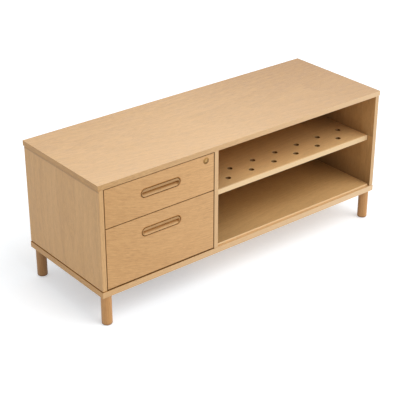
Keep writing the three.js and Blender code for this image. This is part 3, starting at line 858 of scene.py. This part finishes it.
def dress(name, material, ease):
    piece = nodes[name]
    for slot in piece.material_slots:
        slot.material = material
    weld = piece.modifiers.new("weld", "WELD")
    weld.merge_threshold = arris["weld"]
    shade = piece.modifiers.new("shade", "NODES")
    shade.node_group = smoother
    if ease:
        edge = piece.modifiers.new("arris", "BEVEL")
        edge.width = ease
        edge.segments = arris["segments"]
        edge.limit_method = "ANGLE"
        edge.angle_limit = math.radians(arris["angle"])
        level = piece.modifiers.new("level", "WEIGHTED_NORMAL")
        level.weight = arris["weight"]
        level.keep_sharp = True


boardFinish = {
    "top_panel": "top", "base_panel": "base", "left_side_panel": "side", "right_side_panel": "rightSide",
    "divider_panel": "divider", "back_panel": "back", "bay_deck": "deck", "shelf": "shelf",
    "upper_drawer_front": "upperFront", "lower_drawer_front": "lowerFront",
}
for name, wood in boardFinish.items():
    dress(name, oak[wood], arris["board"])
for level in ("upper", "lower"):
    dress(level + "_drawer_pull", oak["pull"], arris["pull"])
    dress(level + "_drawer_left_side", ply["side"], arris["box"])
    dress(level + "_drawer_right_side", ply["side"], arris["box"])
    dress(level + "_drawer_back", ply["back"], arris["box"])
    dress(level + "_drawer_bottom", ply["bottom"], arris["box"])
for name in nodes:
    if "runner" in name or name.startswith(("leg_bolt", "leg_insert", "shelf_pin")):
        dress(name, zincSteel, 0.0)
    if name.startswith("leg_glide"):
        dress(name, blackPlastic, arris["box"])
for name in ("lock_nut", "lock_cam", "lock_cam_screw", "lock_strike"):
    dress(name, zincSteel, arris["metal"])
dress("lock_housing", lockBrass, arris["metal"])
dress("lock_plug", plugBrass, arris["metal"])
print("CAD pieces finished")


# pieces of the scene's own

mergeGap = 0.000001


def finishPiece(work, name, material, body, replaced=()):
    bmesh.ops.remove_doubles(work, verts=work.verts, dist=mergeGap)
    bmesh.ops.recalc_face_normals(work, faces=work.faces)
    for face in work.faces:
        face.smooth = True
    mesh = bpy.data.meshes.new(name)
    work.to_mesh(mesh)
    work.free()
    mesh.materials.append(material)
    piece = bpy.data.objects.new(name, mesh)
    scene.collection.objects.link(piece)
    shade = piece.modifiers.new("shade", "NODES")
    shade.node_group = smoother
    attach(piece, body)
    if replaced:
        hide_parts(*replaced)


legLook = {"foot": 0.0035, "head": 0.0004, "recess": 0.0153, "recessTop": 0.0033, "steps": 72, "curve": 8}


# round leg, turned about its own axis between the CAD leg's foot and head
def makeLeg(name, look):
    low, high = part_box(name)
    middle = (low + high) / 2
    radius = (high.x - low.x) / 2
    ease = look["foot"]
    profile = [(0.0, look["recessTop"]), (look["recess"], look["recessTop"]), (look["recess"], low.z)]
    for i in range(look["curve"] + 1):
        turn = math.pi / 2 * i / look["curve"]
        profile.append((radius - ease + ease * math.sin(turn), low.z + ease * (1.0 - math.cos(turn))))
    profile += [(radius, high.z - look["head"]), (radius - look["head"], high.z), (0.0, high.z)]
    work = bmesh.new()
    points = [work.verts.new((middle.x + r, middle.y, z)) for r, z in profile]
    edges = [work.edges.new(pair) for pair in zip(points, points[1:])]
    bmesh.ops.spin(work, geom=points + edges, cent=(middle.x, middle.y, 0.0), axis=(0.0, 0.0, 1.0),
                   angle=2.0 * math.pi, steps=look["steps"], use_merge=True)
    finishPiece(work, "turned_" + name, oak["leg"], "carcass", (name,))


for name in [node for node in nodes if node.startswith(("leg_front", "leg_rear"))]:
    makeLeg(name, legLook)
print("legs made")


screwLook = {
    "radius": 0.0034,
    "crown": 0.0026,
    "height": 0.0015,
    "recess": 0.0008,
    "slotHalf": 0.00045,
    "slotReach": 0.0017,
    "sides": 24,
    "faceUp": 0.99,
    "cutGap": 0.0000001,
}


# one pan head with a cross recess, its seat at the origin and its face towards +Z
def makeScrewHead(look):
    head = bmesh.new()
    bmesh.ops.create_cone(head, cap_ends=True, segments=look["sides"], radius1=look["radius"],
                          radius2=look["crown"], depth=look["height"],
                          matrix=Matrix.Translation((0.0, 0.0, look["height"] / 2)))
    for normal in ((1.0, 0.0, 0.0), (0.0, 1.0, 0.0)):
        for at in (-look["slotReach"], -look["slotHalf"], look["slotHalf"], look["slotReach"]):
            crown = [face for face in head.faces if face.normal.z > look["faceUp"]]
            parts = list(crown)
            for face in crown:
                parts += [*face.edges, *face.verts]
            bmesh.ops.bisect_plane(head, geom=list(dict.fromkeys(parts)), plane_co=Vector(normal) * at,
                                   plane_no=normal, dist=look["cutGap"])
    cross = []
    for face in head.faces:
        across, along = sorted(abs(value) for value in face.calc_center_median().xy)
        inSlot = across < look["slotHalf"] and along < look["slotReach"]
        if face.normal.z > look["faceUp"] and inSlot:
            cross.append(face)
    sunk = bmesh.ops.extrude_face_region(head, geom=cross)
    moved = [part for part in sunk["geom"] if isinstance(part, bmesh.types.BMVert)]
    bmesh.ops.translate(head, verts=moved, vec=(0.0, 0.0, -look["recess"]))
    bmesh.ops.delete(head, geom=cross, context="FACES")
    mesh = bpy.data.meshes.new("screwHead")
    head.to_mesh(mesh)
    head.free()
    return mesh


screwHead = makeScrewHead(screwLook)


def makeScrews(name, places, facing, body):
    work = bmesh.new()
    turn = Vector(facing).to_track_quat("Z", "Y").to_matrix().to_4x4()
    for place in places:
        before = set(work.verts)
        work.from_mesh(screwHead)
        added = [vert for vert in work.verts if vert not in before]
        bmesh.ops.transform(work, matrix=Matrix.Translation(place) @ turn, verts=added)
    finishPiece(work, name, zincSteel, body)


runnerScrews = {"fromEnd": 0.037, "count": 3, "sheet": 0.0012}
for level in ("upper", "lower"):
    for end, side in (("left", -1.0), ("right", 1.0)):
        low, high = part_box(level + "_" + end + "_runner_drawer_member")
        webX = high.x - runnerScrews["sheet"] if side < 0 else low.x + runnerScrews["sheet"]
        span = high.y - low.y - 2.0 * runnerScrews["fromEnd"]
        step = span / (runnerScrews["count"] - 1)
        places = [(webX, low.y + runnerScrews["fromEnd"] + step * i, (low.z + high.z) / 2)
                  for i in range(runnerScrews["count"])]
        makeScrews(level + "_" + end + "_runner_screws", places, (side, 0.0, 0.0), level + "_drawer")

strikeScrews = {"sheet": 0.002}
low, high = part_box("lock_strike")
quarter = (high.x - low.x) / 4
screwY = (low.y + high.y + strikeScrews["sheet"]) / 2
places = [(x, screwY, high.z - strikeScrews["sheet"]) for x in (low.x + quarter, high.x - quarter)]
makeScrews("strike_screws", places, (0.0, 0.0, -1.0), "carcass")

backScrews = {"fromEnd": 0.0048, "fromTop": 0.05, "rows": 4}
low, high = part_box("back_panel")
columns = (low.x + backScrews["fromEnd"], (dividerLow.x + dividerHigh.x) / 2, high.x - backScrews["fromEnd"])
rise = (high.z - low.z - 2.0 * backScrews["fromTop"]) / (backScrews["rows"] - 1)
heights = [low.z + backScrews["fromTop"] + rise * i for i in range(backScrews["rows"])]
makeScrews("back_screws", [(x, high.y, z) for x in columns for z in heights], (0.0, 1.0, 0.0), "carcass")
print("screws made")
